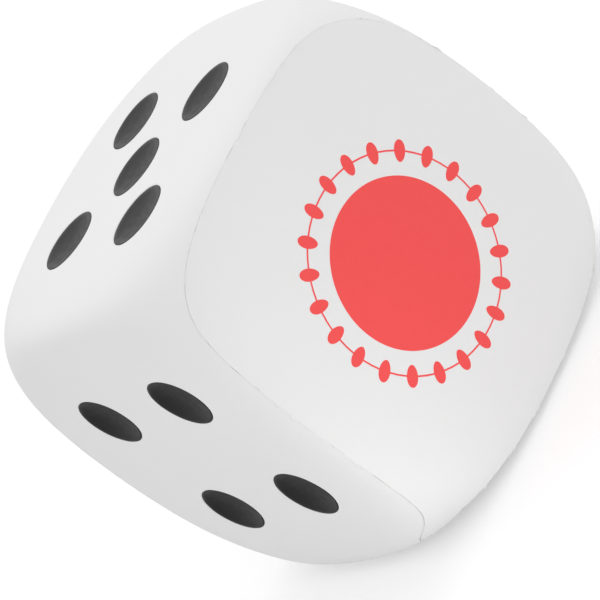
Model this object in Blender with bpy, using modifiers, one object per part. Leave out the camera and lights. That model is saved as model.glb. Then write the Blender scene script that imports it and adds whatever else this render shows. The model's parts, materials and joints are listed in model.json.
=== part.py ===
"""Giant foam yard die: a moulded polyurethane-foam cube with scooped, painted pips.

The die is a foam block inside a tough moulded skin.  The skin is two pieces, as the mould
leaves them: a cup over five faces, and a lid over the sixth, which meet at a parting line
round the printed face.  Twenty pips are paint in shallow scoops, and the printed face
carries a disc and a ring of ovals in ink, in place of a single pip.

Frame: metres, +Z up, the die at rest on its two-pip face, the origin at the middle of its
base.  Five is on top, four looks along -X, three along +X, six along +Y, the print along -Y.
"""
import math

import bmesh
import bpy
from mathutils import Matrix, Vector

COLLECTION = "giant_yard_die"

# Driving sizes, in metres.
EDGE = 0.150                # flat face to flat face
SKIN = 0.0055               # depth of the dense moulded skin
GAP = 0.0003                # clearance between pieces that touch
PIP_RADIUS = 0.0127
PIP_DEPTH = 0.0030
PIP_PAINT = 0.0006          # thickness of the paint in a pip
PIP_RIM = 0.0002            # how far the paint stops below the face
DISC_RADIUS = 0.0300
RING_RADIUS = 0.0386        # to the middle of the ring's ovals
OVALS = 22                  # ovals in the ring, strung on a hairline
OVAL_HEIGHT = 0.0078        # along the ring's radius
OVAL_WIDTH = 0.0044         # along the ring
HAIRLINE = 0.0006
INK = 0.0002                # thickness of the printed ink
PRINT_SHIFT = (-0.0025, -0.0025)  # the print's centre from the face's centre, along X and Z
LID_CLEARANCE = 0.00045     # how much narrower the lid is on each side than the cup's rim

# Where a face's pips stand: how far from the middle of their pattern, and how far that middle is
# from the face's, along the face's two axes.
PIP_SPACING = (0.0270, 0.0270)
FIVE_SPACING = (0.0264, 0.0256)
FIVE_SHIFT = (-0.0014, -0.0018)
FOUR_SPACING = (0.0255, 0.0282)
FOUR_SHIFT = (-0.0032, 0.0018)
NO_SHIFT = (0, 0)

# The die's form.  These are in half edges, or plain numbers.
SQUARENESS = 17.5           # exponent of the rounded cube: a higher one gives sharper edges
CORNER_BALL = 1.4265        # radius of the ball that rounds the corners
FLAT_LAND = 0.002           # the rounded cube is this much oversize before its faces are cut flat
LID_FACE = 0.938            # from the die's centre to the middle of the lid
LID_FALL = 0.022            # how far the lid has dropped, one half edge out from its middle
LID_POWER = 10.4            # how suddenly it drops towards its corners
LID_SHIFT = (0.020, 0.033)  # the lid's middle from the face's centre, along X and Z
CREASE_REACH = 1.3          # further out than the parting line anywhere

# Mesh density.
CELLS = 12                  # grid cells along each edge of the die
PIP_STEPS = 20              # segments round a pip
ARC_STEPS = 2               # segments from a pip's middle to its rim
PRINT_STEPS = 48            # segments round the printed disc
OVAL_STEPS = 4              # segments from an oval's middle to its side
CREASE_HALVINGS = 40
MERGE = 0.00001             # merge distance of the turned pieces, in metres
TINY = 0.000001             # a rounding allowance on the unit grid

HALF = EDGE / 2
SCOOP_BALL = (PIP_RADIUS ** 2 + PIP_DEPTH ** 2) / (2 * PIP_DEPTH)
CUTTER_HEIGHT = 0.002       # how far a scoop's cutter stands out of the face
PRINT_FACE = LID_FACE * HALF + GAP + INK
CENTRE = Vector((0, (PRINT_FACE - HALF) / 2, HALF))

X, Y, Z = Vector((1, 0, 0)), Vector((0, 1, 0)), Vector((0, 0, 1))

# Each pipped face: its value, the way it looks, and its two in-plane axes.
FACES = {
    2: (-Z, X, Y),
    3: (X, Y, Z),
    4: (-X, Y, Z),
    5: (Z, X, Y),
    6: (Y, X, Z),
}
DIAGONAL = [(-1, -1), (1, 1)]
CORNERS = [(-1, -1), (-1, 1), (1, -1), (1, 1)]
MIDDLE = [(0, 0)]
SIDES = [(0, -1), (0, 1)]
# The places of its pips, and their spacing and shift.
LAYOUTS = {
    2: (DIAGONAL, PIP_SPACING, NO_SHIFT),
    3: (DIAGONAL + MIDDLE, PIP_SPACING, NO_SHIFT),
    4: (CORNERS, FOUR_SPACING, FOUR_SHIFT),
    5: (CORNERS + MIDDLE, FIVE_SPACING, FIVE_SHIFT),
    6: (CORNERS + SIDES, PIP_SPACING, NO_SHIFT),
}


def clear_scene():
    for thing in list(bpy.data.objects):
        bpy.data.objects.remove(thing, do_unlink=True)


def new_collection(name):
    group = bpy.data.collections.new(name)
    bpy.context.scene.collection.children.link(group)
    return group


def plain_material(name, colour, roughness):
    material = bpy.data.materials.new(name)
    material.use_nodes = True
    shader = material.node_tree.nodes["Principled BSDF"]
    shader.inputs["Base Color"].default_value = (*colour, 1)
    shader.inputs["Roughness"].default_value = roughness
    shader.inputs["Metallic"].default_value = 0
    return material


def add_object(name, mesh, group, parent, material=None):
    piece = bpy.data.objects.new(name, mesh)
    group.objects.link(piece)
    piece.parent = parent
    if material:
        mesh.materials.append(material)
    return piece


def rounded_norm(v):
    """Size of v as the rounded cube measures it, 1 on its surface: a cube blended with a ball."""
    terms = (abs(v.x), abs(v.y), abs(v.z), v.length / CORNER_BALL)
    return sum(term ** SQUARENESS for term in terms) ** (1 / SQUARENESS)


def skin_point(v):
    """The point of the rounded cube in the direction of v, with each face cut truly flat."""
    point = v * ((1 + FLAT_LAND) / rounded_norm(v))
    return Vector([max(-1, min(1, c)) for c in point])


def lid_height(x, z):
    """The lid's Y at a place in plan: flat in the middle, dropping away at its corners."""
    out = math.hypot(x - LID_SHIFT[0], z - LID_SHIFT[1])
    return -(LID_FACE - LID_FALL * out ** LID_POWER)


def crease_point(x, z):
    """The point of the parting line in the plan direction (x, z), where the lid cuts the cube."""
    low, high = 0, CREASE_REACH
    for _ in range(CREASE_HALVINGS):
        middle = (low + high) / 2
        point = Vector((middle * x, lid_height(middle * x, middle * z), middle * z))
        if rounded_norm(point) < 1 + FLAT_LAND:
            low = middle
        else:
            high = middle
    return point


def cup_point(v):
    """A grid point of the unit cube, moved to the cup; the grid's -Y edge lands on the crease."""
    if v.y < 0:
        crease = crease_point(v.x, v.z)
        v = Vector((v.x, v.y * -crease.y / max(abs(crease.x), abs(crease.z)), v.z))
    return skin_point(v)


def lid_point(v, reach):
    """A grid point of the unit cube's -Y face, moved to the lid, which reaches to the crease."""
    ring = max(abs(v.x), abs(v.z))
    if ring < TINY:
        return Vector((0, lid_height(0, 0), 0))
    crease = crease_point(v.x / ring, v.z / ring)
    x, z = reach * ring * crease.x, reach * ring * crease.z
    return Vector((x, lid_height(x, z), z))


def die_grid(cup, lid, lid_reach=1):
    """A gridded cube moved to the die's outer surface, in half edges: its cup, its lid or both."""
    grid = bmesh.new()
    bmesh.ops.create_cube(grid, size=2)
    bmesh.ops.subdivide_edges(grid, edges=grid.edges[:], cuts=CELLS - 1, use_grid_fill=True)
    grid.normal_update()
    dropped = [f for f in grid.faces if not (lid if f.normal.y < -0.5 else cup)]
    bmesh.ops.delete(grid, geom=dropped, context="FACES")
    for vertex in grid.verts:
        eased = Vector([math.sin(c * math.pi / 2) for c in vertex.co])
        on_lid = vertex.co.y < TINY - 1 and max(abs(eased.x), abs(eased.z)) < 1 - TINY
        vertex.co = lid_point(eased, lid_reach) if on_lid or not cup else cup_point(eased)
    return grid


def to_mesh(name, grid):
    mesh = bpy.data.meshes.new(name)
    grid.to_mesh(mesh)
    grid.free()
    mesh.shade_smooth()
    return mesh


def shell_mesh(name, cup, lid, lid_reach=1):
    """A closed shell: the outer surface, a smaller copy of it, and the mitred rim between them."""
    shell = die_grid(cup, lid, lid_reach)
    bmesh.ops.scale(shell, vec=(HALF, HALF, HALF), verts=shell.verts[:])
    everything = shell.verts[:] + shell.edges[:] + shell.faces[:]
    copy = bmesh.ops.duplicate(shell, geom=everything)["geom"]
    inner = 1 - SKIN / HALF
    inner_verts = [g for g in copy if isinstance(g, bmesh.types.BMVert)]
    inner_faces = [g for g in copy if isinstance(g, bmesh.types.BMFace)]
    bmesh.ops.scale(shell, vec=(inner, inner, inner), verts=inner_verts)
    bmesh.ops.reverse_faces(shell, faces=inner_faces)
    rims = [edge for edge in shell.edges if edge.is_boundary]
    bmesh.ops.bridge_loops(shell, edges=rims)
    bmesh.ops.recalc_face_normals(shell, faces=shell.faces[:])
    return to_mesh(name, shell)


def core_mesh(name):
    """The foam block, which fills the skin with a small clearance."""
    core = die_grid(cup=True, lid=True)
    size = HALF - SKIN - GAP
    bmesh.ops.scale(core, vec=(size, size, size), verts=core.verts[:])
    return to_mesh(name, core)


def profile_mesh(name, points):
    """An outline in the XZ plane, from the top of the axis round the outside to its bottom."""
    mesh = bpy.data.meshes.new(name)
    corners = [(x, 0, z) for x, z in points]
    edges = [(i, i + 1) for i in range(len(corners) - 1)]
    mesh.from_pydata(corners, edges, [])
    return mesh


def turn(piece, steps):
    """Turns a piece's outline about its own Z axis."""
    screw = piece.modifiers.new("turned", "SCREW")
    screw.steps = steps
    screw.render_steps = steps
    screw.use_merge_vertices = True
    screw.merge_threshold = MERGE
    screw.use_smooth_shade = True


def ball_arc(radius, top):
    """Points down a ball's inside from the height top to the axis, its centre over the scoop."""
    centre = SCOOP_BALL - PIP_DEPTH
    widest = math.acos((centre - top) / radius)
    angles = [widest * (1 - i / ARC_STEPS) for i in range(ARC_STEPS + 1)]
    return [(radius * math.sin(a), centre - radius * math.cos(a)) for a in angles]


def scoop_profile():
    """The solid that cuts one pip's hollow: a spherical dish with straight sides above it."""
    sides = [(0, CUTTER_HEIGHT), (PIP_RADIUS, CUTTER_HEIGHT)]
    return sides + ball_arc(SCOOP_BALL, 0)


def paint_profile():
    """One pip's paint: an even layer that lines its hollow."""
    outer = SCOOP_BALL - GAP
    inner_arc = ball_arc(outer - PIP_PAINT, -PIP_RIM)
    return inner_arc[::-1] + ball_arc(outer, -PIP_RIM)


def place(piece, normal, across, along, spot, height):
    """Puts a piece on a face: its local Z along the normal, its local X along the first axis."""
    piece.location = normal * height + across * spot[0] + along * spot[1]
    piece.rotation_mode = "QUATERNION"
    axes = Matrix((across, normal.cross(across), normal))
    piece.rotation_quaternion = axes.transposed().to_quaternion()


def cut(piece, cutters):
    boolean = piece.modifiers.new("pip_hollows", "BOOLEAN")
    boolean.operation = "DIFFERENCE"
    boolean.solver = "EXACT"
    boolean.operand_type = "COLLECTION"
    boolean.collection = cutters


def make_pips(parts, cutters, parent, material):
    """The paint of every pip, and the cutter of its hollow."""
    scoop = profile_mesh("scoop", scoop_profile())
    paint = profile_mesh("pip_paint", paint_profile())
    paint.materials.append(material)
    for value, (spots, spacing, shift) in LAYOUTS.items():
        for number, (u, v) in enumerate(spots, start=1):
            spot = (u * spacing[0] + shift[0], v * spacing[1] + shift[1])
            cutter = add_object(f"scoop_{value}_{number}", scoop, cutters, parent)
            cutter.hide_render = True
            cutter.display_type = "WIRE"
            pip = add_object(f"pip_paint_{value}_{number}", paint, parts, parent)
            for piece in (cutter, pip):
                place(piece, *FACES[value], spot, HALF)
                turn(piece, PIP_STEPS)


def oval_reaches():
    """Round the ring: each angle, and how far the ink there reaches each way from its middle."""
    reaches = []
    for number in range(OVALS):
        middle = 2 * math.pi * number / OVALS
        for step in range(-OVAL_STEPS, OVAL_STEPS + 1):
            swing = math.pi / 2 * step / OVAL_STEPS
            angle = middle + OVAL_WIDTH / 2 * math.sin(swing) / RING_RADIUS
            reaches.append((angle, max(HAIRLINE, OVAL_HEIGHT * math.cos(swing)) / 2))
        reaches.append((middle + math.pi / OVALS, HAIRLINE / 2))
    return reaches


def ring_mesh(name):
    """The printed ring, flat in the XY plane: a strip that swells into ovals."""
    strip = bmesh.new()
    pairs = []
    for angle, reach in oval_reaches():
        way = Vector((math.cos(angle), math.sin(angle), 0))
        pairs.append([strip.verts.new(way * (RING_RADIUS + side * reach)) for side in (-1, 1)])
    for (inner, outer), (next_inner, next_outer) in zip(pairs, pairs[1:] + pairs[:1]):
        strip.faces.new((inner, outer, next_outer, next_inner))
    mesh = bpy.data.meshes.new(name)
    strip.to_mesh(mesh)
    strip.free()
    return mesh


def make_print(parts, parent, material):
    """The printed disc and its ring, which stand for the single pip."""
    height = LID_FACE * HALF + GAP
    disc_outline = [(0, INK), (DISC_RADIUS, INK), (DISC_RADIUS, 0), (0, 0)]
    disc = add_object("print_disc", profile_mesh("print_disc", disc_outline), parts, parent, material)
    place(disc, -Y, X, Z, PRINT_SHIFT, height)
    turn(disc, PRINT_STEPS)
    ring = add_object("print_ring", ring_mesh("print_ring"), parts, parent, material)
    place(ring, -Y, X, Z, PRINT_SHIFT, height)
    solid = ring.modifiers.new("ink", "SOLIDIFY")
    solid.thickness = INK
    solid.offset = 1


def main():
    clear_scene()
    parts = new_collection(COLLECTION)
    cutters = new_collection("cutters")
    centre = bpy.data.objects.new("die_centre", None)
    centre.location = CENTRE
    parts.objects.link(centre)

    white = plain_material("skin_white", (0.90, 0.90, 0.89), 0.55)
    foam = plain_material("foam_cream", (0.85, 0.80, 0.66), 0.90)
    black = plain_material("pip_black", (0.015, 0.015, 0.016), 0.45)
    coral = plain_material("ink_coral", (0.95, 0.095, 0.095), 0.50)

    add_object("foam_core", core_mesh("foam_core"), parts, centre, foam)
    cup = add_object("cup_skin", shell_mesh("cup_skin", cup=True, lid=False), parts, centre, white)
    lid_reach = 1 - LID_CLEARANCE / HALF
    lid = shell_mesh("lid_skin", cup=False, lid=True, lid_reach=lid_reach)
    add_object("lid_skin", lid, parts, centre, white)
    make_pips(parts, cutters, centre, black)
    make_print(parts, centre, coral)
    cut(cup, cutters)


main()
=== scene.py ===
"""The giant foam yard die's looks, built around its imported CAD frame.

The die lies on its two-pip face, five up, with its printed face along -Y.  The camera looks at
that face from the left and is rolled, so that the die stands on a corner in the picture.
"""
import json
import math

import bmesh
import bpy
from mathutils import Matrix, Vector, noise

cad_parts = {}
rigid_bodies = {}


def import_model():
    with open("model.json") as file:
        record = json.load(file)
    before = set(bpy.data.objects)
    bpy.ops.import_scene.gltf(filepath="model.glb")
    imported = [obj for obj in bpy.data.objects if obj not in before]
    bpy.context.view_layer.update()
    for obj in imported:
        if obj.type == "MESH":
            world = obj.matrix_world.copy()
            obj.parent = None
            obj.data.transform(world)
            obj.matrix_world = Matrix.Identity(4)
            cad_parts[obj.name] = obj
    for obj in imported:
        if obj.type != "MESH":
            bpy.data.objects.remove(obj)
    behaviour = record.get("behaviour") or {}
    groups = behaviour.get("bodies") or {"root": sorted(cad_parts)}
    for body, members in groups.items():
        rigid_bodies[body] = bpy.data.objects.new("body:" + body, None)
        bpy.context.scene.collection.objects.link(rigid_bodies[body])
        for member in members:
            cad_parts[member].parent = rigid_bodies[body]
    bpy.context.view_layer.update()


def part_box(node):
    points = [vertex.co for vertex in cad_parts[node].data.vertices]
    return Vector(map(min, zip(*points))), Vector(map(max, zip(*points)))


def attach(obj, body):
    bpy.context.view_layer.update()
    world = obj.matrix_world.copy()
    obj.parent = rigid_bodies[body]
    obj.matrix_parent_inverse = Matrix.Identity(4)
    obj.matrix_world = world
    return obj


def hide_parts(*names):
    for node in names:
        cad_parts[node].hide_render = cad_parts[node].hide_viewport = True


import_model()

MM = 0.001
X, Y, Z = Vector((1, 0, 0)), Vector((0, 1, 0)), Vector((0, 0, 1))

# The die, from the frame.
CUP_LOW, CUP_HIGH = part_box("cup_skin")
CORE_LOW, CORE_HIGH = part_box("foam_core")
HALF = (CUP_HIGH.z - CUP_LOW.z) / 2
CENTRE = Vector(((CUP_LOW.x + CUP_HIGH.x) / 2, CUP_HIGH.y - HALF, CUP_LOW.z + HALF))
CORE_HALF = (CORE_HIGH.z - CORE_LOW.z) / 2

# Its form, as the CAD makes it: half edges, or plain numbers.
SQUARENESS = 17.5
CORNER_BALL = 1.4265
FLAT_LAND = 0.002
LID_FACE = 0.938
LID_FALL = 0.022
LID_POWER = 10.4
LID_SHIFT = (0.020, 0.033)
CREASE_REACH = 1.3          # farther out than any point of the parting line
CREASE_HALVINGS = 40

# Its faces: the way each pipped one looks.
FACES = {2: -Z, 3: X, 4: -X, 5: Z, 6: Y}

# The moulded skin.
SKIN = 5.5 * MM
SEAM_GAP = 0.16 * MM        # between the lid and the cup, where the flash sits
SWELL_SIZE = 34 * MM
SWELL_RISE = 0.14 * MM
DIMPLE_SIZE = 9 * MM
DIMPLE_RISE = 0.035 * MM
DIMPLE_SEED = Vector((7, 3, 5))

# The pips' hollows, and the paint in them.
PIP_RADIUS = 12.7 * MM
PIP_DEPTH = 3.0 * MM
SCOOP_BALL = (PIP_RADIUS ** 2 + PIP_DEPTH ** 2) / (2 * PIP_DEPTH)
CUTTER_RISE = 2 * MM        # how far the hollows' cutter stands out of the face
PAINT = 0.35 * MM
PAINT_GAP = 0.03 * MM       # between the paint and the skin, so that the meshes stay apart
PAINT_TUCK = 0.12 * MM      # how far below the die's surface the paint stops
WANDER = 0.006              # how far the paint's edge strays, as a share of the pip's radius
WANDER_SIZE = 4 * MM
WANDER_POWER = 4            # how suddenly it starts to stray towards the edge
WANDER_SEED = Vector((0, 0, 0.5))
WANDER_SEED_STEP = Vector((3.7, 1.3, 0))

# The print.
INK = 0.06 * MM             # how far it stands out of the lid
INK_DEPTH = 0.5 * MM        # how thick the film is, most of it inside the skin
RING_RADIUS = 38.6 * MM     # to the middle of the ring's ovals
OVALS = 22                  # ovals in the ring, strung on a hairline
OVAL_HEIGHT = 7.8 * MM
OVAL_WIDTH = 4.4 * MM
HAIRLINE = 0.6 * MM

# The fin of flash in the parting line.
FLASH_RISE = 0.75 * MM      # its height where its raggedness is 1
FLASH_CLOSED = 0.28         # how far its raggedness falls below 0 before it sinks
FLASH_DROP = 2.5 * MM       # how fast it sinks after that
FLASH_SINK = 0.5 * MM       # and how deep at most
FLASH_ROOT = 0.8 * MM       # how deep its root lies
FLASH_TIP = 0.10 * MM       # its thickness at the tip
FLASH_FILL = 1.24           # its thickness at the root, in gaps
FLASH_SLOPE = 0.9           # which way it points: out along -Y against out along the face
FLASH_LEAN = 2.4            # how far its tip leans over, in heights
FLASH_BEAT = 5 * MM         # the size of its slow raggedness
FLASH_FLUTTER = 1.4 * MM    # and of its quick raggedness, which is half as strong
FLASH_SWAY = 9 * MM         # the length over which it leans to and fro
FLASH_SWAY_SEED = Vector((2, 9, 4))

# Mesh density, in steps round or across each piece.
SHELL_CELLS = 56
CORE_CELLS = 14
PIP_STEPS = 72
ARC_STEPS = 10
PRINT_STEPS = 128
DISC_STEPS = 24
OVAL_STEPS = 10
STRIP_CUTS = 4
FLASH_RINGS = 1600
TINY = 0.000001

# An edge that turns by more than this shades as a sharp one.
SHARP = math.radians(30)
CUP_SHARP = math.radians(18)        # less, which keeps the hollows' rims crisp

# The camera, as the view of the die's centre.
VIEW_AZIMUTH = 25.18        # degrees from straight along +Y, towards -X
VIEW_ELEVATION = 20.29      # degrees above the floor
VIEW_ROLL = 53.34           # degrees
VIEW_DISTANCE = 16.18 * HALF
VIEW_DROP = 0.068 * HALF    # how far the picture's middle is below the die's centre
VIEW_SIDE = 0.009 * HALF    # and how far it is to the right
SENSOR = 36.0
LENS = 205.3
CLIP_END = 50

# The light. A lamp's place is from the die's centre, its size in metres and its power in watts.
BRIGHT_SIDE = (0.40, 0.25, 0.92)    # the way the studio's light mostly comes from
WORLD_DIM = 0.08            # the studio's level on the side away from it
WORLD_BRIGHT = 1.05         # and on the bright side
WORLD_SEEN = 1.05           # how bright the empty studio looks to the camera
OVERHEAD = {"offset": Vector((0.10, -0.15, 1.60)), "size": 1.6, "power": 3.0}
LOW_FILL = {"offset": Vector((-0.18, -0.19, -0.055)), "size": 0.06, "power": 0.026}
FRONT_FILL = {"offset": Vector((-0.10, -0.15, -0.06)), "size": 0.03, "power": 0.007}

# The floor.
FLOOR_SIZE = 12
FLOOR_COLOUR = (0.9, 0.9, 0.9, 1)
FLOOR_ROUGHNESS = 0.9
FLOOR_SHINE = 0.1
FLOOR_GLOW = 0.19           # a little light of its own, which keeps it near white

WHITE = (1, 1, 1, 1)


# ---------------------------------------------------------------- form

def rounded_norm(v):
    """Size of v as the rounded cube measures it, 1 on its surface: a cube blended with a ball."""
    terms = (abs(v.x), abs(v.y), abs(v.z), v.length / CORNER_BALL)
    return sum(term ** SQUARENESS for term in terms) ** (1 / SQUARENESS)


def skin_point(v):
    """The point of the rounded cube in the direction of v, with each face cut truly flat."""
    point = v * ((1 + FLAT_LAND) / rounded_norm(v))
    return Vector([max(-1, min(1, part)) for part in point])


def lid_height(x, z):
    """The lid's Y at a place in plan: flat in the middle, dropping away at its corners."""
    out = math.hypot(x - LID_SHIFT[0], z - LID_SHIFT[1])
    return -(LID_FACE - LID_FALL * out ** LID_POWER)


def crease_point(x, z):
    """The point of the parting line in the plan direction (x, z), found by halving."""
    low, high = 0, CREASE_REACH
    for _ in range(CREASE_HALVINGS):
        middle = (low + high) / 2
        point = Vector((middle * x, lid_height(middle * x, middle * z), middle * z))
        if rounded_norm(point) < 1 + FLAT_LAND:
            low = middle
        else:
            high = middle
    return point


def cup_point(v):
    """The cup's point for a grid point, with the -Y half fitted to end at the parting line."""
    if v.y < 0:
        crease = crease_point(v.x, v.z)
        v = Vector((v.x, v.y * -crease.y / max(abs(crease.x), abs(crease.z)), v.z))
    return skin_point(v)


def lid_point(v, reach):
    """The lid's point for a grid point: the grid's squares become shrunk parting lines."""
    ring = max(abs(v.x), abs(v.z))
    if ring < TINY:
        return Vector((0, lid_height(0, 0), 0))
    crease = crease_point(v.x / ring, v.z / ring)
    x, z = reach * ring * crease.x, reach * ring * crease.z
    return Vector((x, lid_height(x, z), z))


def ease(place):
    """Crowds the grid's lines towards the die's edges."""
    return (place + math.sin(place * math.pi / 2)) / 2


def die_grid(cup, lid, cells, lid_reach=1):
    """The die's outer surface in half edges: its cup, its lid or both."""
    grid = bmesh.new()
    bmesh.ops.create_cube(grid, size=2)
    bmesh.ops.subdivide_edges(grid, edges=grid.edges[:], cuts=cells - 1, use_grid_fill=True)
    grid.normal_update()
    dropped = [face for face in grid.faces if not (lid if face.normal.y < -0.5 else cup)]
    bmesh.ops.delete(grid, geom=dropped, context="FACES")
    for vertex in grid.verts:
        eased = Vector([ease(part) for part in vertex.co])
        on_lid = vertex.co.y < TINY - 1 and max(abs(eased.x), abs(eased.z)) < 1 - TINY
        vertex.co = lid_point(eased, lid_reach) if on_lid or not cup else cup_point(eased)
    return grid


# ---------------------------------------------------------------- objects

def to_object(name, grid):
    mesh = bpy.data.meshes.new(name)
    grid.to_mesh(mesh)
    grid.free()
    mesh.shade_smooth()
    piece = bpy.data.objects.new(name, mesh)
    bpy.context.scene.collection.objects.link(piece)
    return piece


def bake_modifiers(piece):
    """Replaces a piece's mesh by its evaluated one."""
    bpy.context.view_layer.update()
    evaluated = piece.evaluated_get(bpy.context.evaluated_depsgraph_get())
    mesh = bpy.data.meshes.new_from_object(evaluated)
    piece.modifiers.clear()
    piece.data = mesh


def finish_piece(piece, material, slot, *nodes):
    piece.data.materials.clear()
    piece.data.materials.append(material)
    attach(piece, "root")
    if nodes:
        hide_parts(*nodes)


def scale_verts(grid, size, verts):
    bmesh.ops.scale(grid, vec=(size, size, size), verts=verts)


def only_verts(geometry):
    return [item for item in geometry if isinstance(item, bmesh.types.BMVert)]


def waviness(point):
    """How far the moulded skin stands out of its true form: slow swells and small dimples."""
    swells = noise.noise(point / SWELL_SIZE) * SWELL_RISE
    dimples = noise.noise(point / DIMPLE_SIZE + DIMPLE_SEED) * DIMPLE_RISE
    return swells + dimples


def shell(name, cup, lid, lid_reach=1):
    """A closed skin: the wavy outer surface, a smaller copy of it, and the rim between them."""
    skin = die_grid(cup, lid, SHELL_CELLS, lid_reach)
    scale_verts(skin, HALF, skin.verts[:])
    skin.normal_update()
    rim = {vertex for edge in skin.edges if edge.is_boundary for vertex in edge.verts}
    waves = {v: v.normal * waviness(v.co) for v in skin.verts if v not in rim}
    everything = skin.verts[:] + skin.edges[:] + skin.faces[:]
    copy = bmesh.ops.duplicate(skin, geom=everything)["geom"]
    inner_faces = [item for item in copy if isinstance(item, bmesh.types.BMFace)]
    scale_verts(skin, 1 - SKIN / HALF, only_verts(copy))
    bmesh.ops.reverse_faces(skin, faces=inner_faces)
    for vertex, wave in waves.items():
        vertex.co += wave
    bmesh.ops.bridge_loops(skin, edges=[edge for edge in skin.edges if edge.is_boundary])
    bmesh.ops.recalc_face_normals(skin, faces=skin.faces[:])
    bmesh.ops.translate(skin, vec=CENTRE, verts=skin.verts[:])
    return to_object(name, skin)


def lathe(name, points, steps):
    """Turns an outline of (radius, height) points about the Z axis."""
    turned = bmesh.new()
    verts = [turned.verts.new((radius, 0, height)) for radius, height in points]
    edges = [turned.edges.new(pair) for pair in zip(verts, verts[1:])]
    bmesh.ops.spin(
        turned, geom=verts + edges, cent=(0, 0, 0), axis=(0, 0, 1), angle=2 * math.pi,
        steps=steps, use_duplicate=False,
    )
    bmesh.ops.remove_doubles(turned, verts=turned.verts[:], dist=TINY)
    bmesh.ops.recalc_face_normals(turned, faces=turned.faces[:])
    return to_object(name, turned)


def ball_arc(radius, top):
    """Points on the inside of a ball round the scoop's centre, from the height top to the axis."""
    centre = SCOOP_BALL - PIP_DEPTH
    widest = math.acos((centre - top) / radius)
    angles = [widest * (1 - step / ARC_STEPS) for step in range(ARC_STEPS + 1)]
    return [(radius * math.sin(angle), centre - radius * math.cos(angle)) for angle in angles]


def face_matrix(spot, normal):
    """Places a turned piece at spot with its Z axis along normal."""
    across = Vector((normal.y, normal.z, normal.x))
    axes = Matrix((across, normal.cross(across), normal)).transposed()
    return Matrix.Translation(spot) @ axes.to_4x4()


def pip_places():
    """Each pip: its CAD node, its place on the face, and the way it looks."""
    places = []
    for value, normal in FACES.items():
        for number in range(1, value + 1):
            node = f"pip_paint_{value}_{number}"
            low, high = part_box(node)
            middle = (low + high) / 2
            spot = middle + normal * (HALF - normal.dot(middle - CENTRE))
            places.append((node, spot, normal))
    return places


# ---------------------------------------------------------------- materials

class Material:
    """A material's node tree, with short calls to add and join nodes."""

    def __init__(self, name):
        self.finished = bpy.data.materials.new(name)
        self.finished.use_nodes = True
        self.tree = self.finished.node_tree
        self.shader = self.tree.nodes["Principled BSDF"]
        self.place = self.add("ShaderNodeTexCoord").outputs["Object"]

    def add(self, kind, **values):
        node = self.tree.nodes.new(kind)
        for key, value in values.items():
            setattr(node, key, value)
        return node

    def join(self, source, target):
        self.tree.links.new(source, target)

    def noise(self, size, detail=2.0, roughness=0.5):
        """Noise whose features are about size metres across."""
        node = self.add("ShaderNodeTexNoise")
        self.join(self.place, node.inputs["Vector"])
        node.inputs["Scale"].default_value = 1 / size
        node.inputs["Detail"].default_value = detail
        node.inputs["Roughness"].default_value = roughness
        return node.outputs["Fac"]

    def tint(self, source, low, high):
        """A base colour between low and high, by source."""
        node = self.add("ShaderNodeMix", data_type="RGBA")
        factor, first, second = node.inputs[0], node.inputs[6], node.inputs[7]
        self.join(source, factor)
        first.default_value = (*low, 1)
        second.default_value = (*high, 1)
        self.join(node.outputs[2], self.shader.inputs["Base Color"])

    def sheen(self, source, low, high, specular):
        """Roughness from low to high over the noise's middle range, and the specular level."""
        node = self.add("ShaderNodeMapRange")
        self.join(source, node.inputs["Value"])
        node.inputs["From Min"].default_value = 0.3
        node.inputs["From Max"].default_value = 0.7
        node.inputs["To Min"].default_value = low
        node.inputs["To Max"].default_value = high
        self.join(node.outputs["Result"], self.shader.inputs["Roughness"])
        self.shader.inputs["Specular IOR Level"].default_value = specular

    def relief(self, *layers):
        """Bumps laid one on another, each from a source and its depth."""
        below = None
        for source, depth in layers:
            node = self.add("ShaderNodeBump")
            self.join(source, node.inputs["Height"])
            node.inputs["Strength"].default_value = 1
            node.inputs["Distance"].default_value = depth
            if below:
                self.join(below, node.inputs["Normal"])
            below = node.outputs["Normal"]
        self.join(below, self.shader.inputs["Normal"])


def skin_material():
    """Matte white moulded polyurethane: a fine pebble from the mould and faint clouding."""
    skin = Material("moulded_white_skin")
    skin.tint(skin.noise(40 * MM, detail=3), low=(0.865, 0.865, 0.865), high=(0.890, 0.890, 0.889))
    skin.sheen(skin.noise(6 * MM), low=0.46, high=0.56, specular=0.35)
    pebble = skin.noise(1.1 * MM, detail=3, roughness=0.6)
    skin.relief((pebble, 0.02 * MM), (skin.noise(5 * MM), 0.05 * MM))
    return skin.finished


def paint_material():
    """Satin black paint, sprayed into the hollows."""
    paint = Material("black_pip_paint")
    paint.tint(paint.noise(5 * MM, detail=3), low=(0.010, 0.010, 0.011), high=(0.018, 0.018, 0.019))
    paint.sheen(paint.noise(2.5 * MM, detail=3), low=0.36, high=0.50, specular=0.42)
    paint.relief((paint.noise(0.8 * MM, detail=3, roughness=0.6), 0.02 * MM))
    return paint.finished


def ink_material():
    """Coral pad-printing ink: thin, satin, with the skin's pebble showing through."""
    ink = Material("coral_ink")
    cloud = ink.noise(3 * MM, detail=4, roughness=0.6)
    ink.tint(cloud, low=(0.99, 0.084, 0.084), high=(1.0, 0.097, 0.095))
    ink.sheen(ink.noise(4 * MM), low=0.42, high=0.54, specular=0.3)
    ink.relief((ink.noise(1.1 * MM, detail=3, roughness=0.6), 0.02 * MM))
    return ink.finished


def foam_material():
    """Cut polyurethane foam: cream, with open cells."""
    foam = Material("cream_foam")
    foam.tint(foam.noise(12 * MM, detail=3), low=(0.80, 0.74, 0.58), high=(0.88, 0.83, 0.68))
    foam.shader.inputs["Roughness"].default_value = 0.95
    foam.relief((foam.noise(0.9 * MM), 0.3 * MM))
    return foam.finished


# ---------------------------------------------------------------- skin and foam

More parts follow.
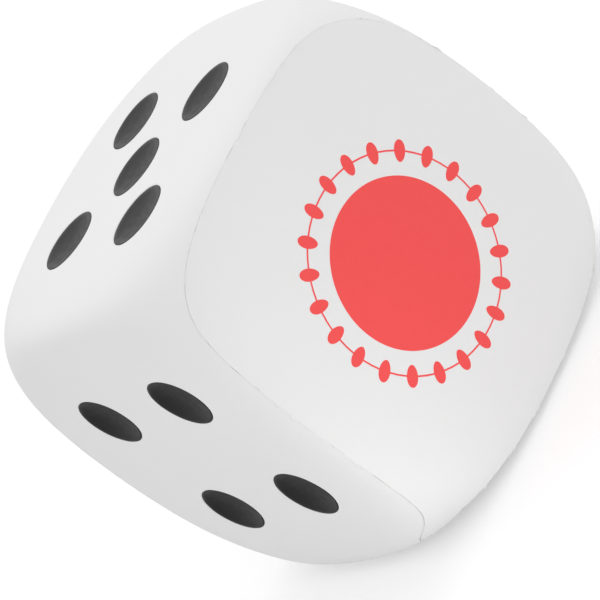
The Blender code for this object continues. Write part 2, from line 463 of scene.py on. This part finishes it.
def hollow_cutters(places):
    """A collection with a copy of the hollows' cutter at each pip, and the cutter itself."""
    outline = [(0, CUTTER_RISE), (PIP_RADIUS, CUTTER_RISE)] + ball_arc(SCOOP_BALL, 0)
    cutter = lathe("hollow", outline, PIP_STEPS)
    hollows = bpy.data.collections.new("hollows")
    for node, spot, normal in places:
        copy = bpy.data.objects.new("hollow_" + node, cutter.data)
        copy.matrix_world = face_matrix(spot, normal)
        hollows.objects.link(copy)
    bpy.context.scene.collection.children.link(hollows)
    return hollows, cutter


def make_cup(material, places):
    """The skin over five faces, with its twenty hollows."""
    cup = shell("cup_skin_moulded", cup=True, lid=False)
    hollows, cutter = hollow_cutters(places)
    boolean = cup.modifiers.new("hollows", "BOOLEAN")
    boolean.operation = "DIFFERENCE"
    boolean.solver = "EXACT"
    boolean.operand_type = "COLLECTION"
    boolean.collection = hollows
    bake_modifiers(cup)
    for copy in list(hollows.objects) + [cutter]:
        bpy.data.objects.remove(copy, do_unlink=True)
    bpy.data.collections.remove(hollows)
    cup.data.shade_smooth()
    cup.data.set_sharp_from_angle(angle=CUP_SHARP)
    finish_piece(cup, material, "skin", "cup_skin")


def make_lid(material):
    """The printed face's skin, which meets the cup at the parting line."""
    lid = shell("lid_skin_moulded", cup=False, lid=True, lid_reach=1 - SEAM_GAP / HALF)
    lid.data.set_sharp_from_angle(angle=SHARP)
    finish_piece(lid, material, "skin", "lid_skin")


def make_core(material):
    """The foam block inside the skin."""
    core = die_grid(cup=True, lid=True, cells=CORE_CELLS)
    scale_verts(core, CORE_HALF, core.verts[:])
    bmesh.ops.translate(core, vec=CENTRE, verts=core.verts[:])
    block = to_object("foam_block", core)
    finish_piece(block, material, "foam", "foam_core")


# ---------------------------------------------------------------- paint and print

def tuck(point):
    """Keeps a point of the paint just inside the die's wavy surface."""
    out = point - CENTRE
    surface = skin_point(out / HALF) * HALF
    limit = surface.length + waviness(surface) - PAINT_TUCK
    return CENTRE + out * min(1, limit / out.length)


def make_pips(material, places):
    """Paint that lines each hollow, a little uneven at its edge."""
    back_ball = SCOOP_BALL - PAINT_GAP
    face = ball_arc(back_ball - PAINT, -PAINT_TUCK)
    back = ball_arc(back_ball, -PAINT_TUCK)
    for index, (node, spot, normal) in enumerate(places):
        pip = lathe(node.replace("paint", "spray"), face[::-1] + back, PIP_STEPS)
        seed = WANDER_SEED + WANDER_SEED_STEP * index
        placed = face_matrix(spot, normal)
        for vertex in pip.data.vertices:
            out = math.hypot(vertex.co.x, vertex.co.y) / PIP_RADIUS
            stray = noise.noise(vertex.co / WANDER_SIZE + seed)
            vertex.co *= 1 + WANDER * stray * out ** WANDER_POWER
            vertex.co = placed.inverted() @ tuck(placed @ vertex.co)
        pip.matrix_world = placed
        finish_piece(pip, material, "pip_paint", node)


def disc_film(name, radius):
    """The printed disc, flat in the XY plane."""
    radii = [radius * step / DISC_STEPS for step in range(DISC_STEPS + 1)]
    top = [(out, INK) for out in radii]
    bottom = [(out, INK - INK_DEPTH) for out in radii[::-1]]
    return lathe(name, top + bottom, PRINT_STEPS)


def oval_reaches():
    """Round the ring: each angle, and how far the ink there reaches each way from its middle."""
    reaches = []
    for number in range(OVALS):
        middle = 2 * math.pi * number / OVALS
        for step in range(-OVAL_STEPS, OVAL_STEPS + 1):
            swing = math.pi / 2 * step / OVAL_STEPS
            angle = middle + OVAL_WIDTH / 2 * math.sin(swing) / RING_RADIUS
            reaches.append((angle, max(HAIRLINE, OVAL_HEIGHT * math.cos(swing)) / 2))
        reaches.append((middle + math.pi / OVALS, HAIRLINE / 2))
    return reaches


def oval_film(name):
    """The printed ring, flat in the XY plane: a strip that swells into ovals."""
    strip = bmesh.new()
    rows = []
    sides = [2 * cut / STRIP_CUTS - 1 for cut in range(STRIP_CUTS + 1)]
    for angle, reach in oval_reaches():
        way = Vector((math.cos(angle), math.sin(angle), 0))
        places = [way * (RING_RADIUS + side * reach) + Z * INK for side in sides]
        rows.append([strip.verts.new(place) for place in places])
    for row, after in zip(rows, rows[1:] + rows[:1]):
        for cut in range(STRIP_CUTS):
            strip.faces.new((row[cut], row[cut + 1], after[cut + 1], after[cut]))
    lower = bmesh.ops.extrude_face_region(strip, geom=strip.faces[:])["geom"]
    bmesh.ops.translate(strip, vec=-Z * INK_DEPTH, verts=only_verts(lower))
    bmesh.ops.recalc_face_normals(strip, faces=strip.faces[:])
    return to_object(name, strip)


def drape(film):
    """Makes a flat film follow the lid's fall and waviness."""
    for vertex in film.data.vertices:
        x, z = vertex.co.x - CENTRE.x, vertex.co.z - CENTRE.z
        below = Vector((x, HALF * lid_height(x / HALF, z / HALF), z))
        vertex.co.y += below.y - HALF * lid_height(0, 0) - waviness(below)


def make_print(material):
    """The printed disc and the ring of ovals round it: films of ink on the lid."""
    low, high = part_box("print_disc")
    middle = (low + high) / 2
    spot = Vector((middle.x, CENTRE.y + HALF * lid_height(0, 0), middle.z))
    disc = disc_film("printed_disc", (high.x - low.x) / 2)
    ring = oval_film("printed_ovals")
    for film, node in ((disc, "print_disc"), (ring, "print_ring")):
        film.data.transform(face_matrix(spot, -Y))
        drape(film)
        film.data.set_sharp_from_angle(angle=SHARP)
        finish_piece(film, material, "print_ink", node)


# ---------------------------------------------------------------- flash

def flash_height(place):
    """How far the fin stands proud at a place on the parting line; below 0 it is sunk."""
    ragged = noise.noise(place / FLASH_BEAT) + 0.5 * noise.noise(place / FLASH_FLUTTER)
    sunk = min(FLASH_SINK, max(0, -ragged - FLASH_CLOSED) * FLASH_DROP)
    return max(0, ragged) * FLASH_RISE - sunk


def flash_outline(turn):
    """The fin's outline at one angle round the die: its root, its shoulders and its tip."""
    crease = crease_point(math.cos(turn), math.sin(turn))
    place = crease * (HALF - SEAM_GAP / 2)
    height = flash_height(place)
    outward = Vector((crease.x, -FLASH_SLOPE, crease.z)).normalized()
    along = Vector((-math.sin(turn), 0, math.cos(turn)))
    side = outward.cross(along).normalized()
    lean = FLASH_LEAN * noise.noise(place / FLASH_SWAY + FLASH_SWAY_SEED) * max(0, height)
    root = CENTRE + place - outward * FLASH_ROOT
    shoulder = CENTRE + place + outward * min(0, height)
    tip = CENTRE + place + outward * height + side * lean
    wide, thin = side * (SEAM_GAP * FLASH_FILL / 2), side * (FLASH_TIP / 2)
    return [root - wide, root + wide, shoulder + wide, tip + thin, tip - thin, shoulder - wide]


def make_flash(material):
    """The ragged fin of skin in the mould's parting line, proud in places and sunk in others."""
    fin = bmesh.new()
    turns = [2 * math.pi * number / FLASH_RINGS for number in range(FLASH_RINGS)]
    rings = [[fin.verts.new(point) for point in flash_outline(turn)] for turn in turns]
    for ring, after in zip(rings, rings[1:] + rings[:1]):
        for corner in range(len(ring)):
            other = (corner + 1) % len(ring)
            fin.faces.new((ring[corner], ring[other], after[other], after[corner]))
    bmesh.ops.recalc_face_normals(fin, faces=fin.faces[:])
    flash = to_object("parting_flash", fin)
    finish_piece(flash, material, "skin")


# ---------------------------------------------------------------- stage

def look_matrix():
    """The camera's place and turn: round the die's centre, then rolled about its own view."""
    azimuth, elevation = math.radians(VIEW_AZIMUTH), math.radians(VIEW_ELEVATION)
    forward = Vector((
        math.sin(azimuth) * math.cos(elevation),
        math.cos(azimuth) * math.cos(elevation),
        -math.sin(elevation),
    ))
    level_right = forward.cross(Z).normalized()
    level_up = level_right.cross(forward)
    roll = math.radians(VIEW_ROLL)
    up = level_up * math.cos(roll) + level_right * math.sin(roll)
    right = forward.cross(up)
    aim = CENTRE + right * VIEW_SIDE - up * VIEW_DROP
    axes = Matrix((right, up, -forward)).transposed()
    return Matrix.Translation(aim - forward * VIEW_DISTANCE) @ axes.to_4x4()


def make_camera():
    data = bpy.data.cameras.new("camera")
    data.sensor_width = SENSOR
    data.lens = LENS
    data.clip_end = CLIP_END
    camera = bpy.data.objects.new("camera", data)
    camera.matrix_world = look_matrix()
    bpy.context.scene.collection.objects.link(camera)
    bpy.context.scene.camera = camera
    bpy.context.scene.view_settings.view_transform = "Standard"


def make_floor():
    bpy.ops.mesh.primitive_plane_add(size=FLOOR_SIZE, location=(CENTRE.x, CENTRE.y, CUP_LOW.z))
    floor = bpy.context.object
    floor.name = "floor"
    material = bpy.data.materials.new("pale_floor")
    material.use_nodes = True
    shader = material.node_tree.nodes["Principled BSDF"]
    shader.inputs["Base Color"].default_value = FLOOR_COLOUR
    shader.inputs["Roughness"].default_value = FLOOR_ROUGHNESS
    shader.inputs["Specular IOR Level"].default_value = FLOOR_SHINE
    shader.inputs["Emission Color"].default_value = WHITE
    shader.inputs["Emission Strength"].default_value = FLOOR_GLOW
    floor.data.materials.append(material)
    floor.visible_glossy = False


def make_world():
    """The empty studio: brightest towards BRIGHT_SIDE, but evenly white to the camera."""
    world = bpy.data.worlds.new("studio")
    bpy.context.scene.world = world
    world.use_nodes = True
    nodes, links = world.node_tree.nodes, world.node_tree.links
    background = nodes["Background"]
    background.inputs["Color"].default_value = WHITE
    way = nodes.new("ShaderNodeTexCoord")
    toward = nodes.new("ShaderNodeVectorMath")
    toward.operation = "DOT_PRODUCT"
    toward.inputs[1].default_value = BRIGHT_SIDE
    level = nodes.new("ShaderNodeMapRange")
    level.inputs["From Min"].default_value = -1
    level.inputs["From Max"].default_value = 1
    level.inputs["To Min"].default_value = WORLD_DIM
    level.inputs["To Max"].default_value = WORLD_BRIGHT
    rays = nodes.new("ShaderNodeLightPath")
    either = nodes.new("ShaderNodeMix")
    seen_by_camera, lighting, seen = either.inputs[0], either.inputs[2], either.inputs[3]
    seen.default_value = WORLD_SEEN
    links.new(way.outputs["Generated"], toward.inputs[0])
    links.new(toward.outputs["Value"], level.inputs["Value"])
    links.new(rays.outputs["Is Camera Ray"], seen_by_camera)
    links.new(level.outputs["Result"], lighting)
    links.new(either.outputs[0], background.inputs["Strength"])


def make_lamp(name, offset, size, power):
    """A round soft light that looks at the die from an offset to its centre."""
    data = bpy.data.lights.new(name, "AREA")
    data.shape = "DISK"
    data.size = size
    data.energy = power
    lamp = bpy.data.objects.new(name, data)
    lamp.location = CENTRE + offset
    lamp.rotation_mode = "QUATERNION"
    lamp.rotation_quaternion = (-offset).to_track_quat("-Z", "Y")
    lamp.visible_camera = False
    bpy.context.scene.collection.objects.link(lamp)


def main():
    white = skin_material()
    black = paint_material()
    coral = ink_material()
    cream = foam_material()
    places = pip_places()
    make_core(cream)
    make_cup(white, places)
    make_lid(white)
    make_pips(black, places)
    make_print(coral)
    make_flash(white)
    make_floor()
    make_world()
    make_lamp("overhead", **OVERHEAD)
    make_lamp("low_fill", **LOW_FILL)
    make_lamp("front_fill", **FRONT_FILL)
    make_camera()


main()
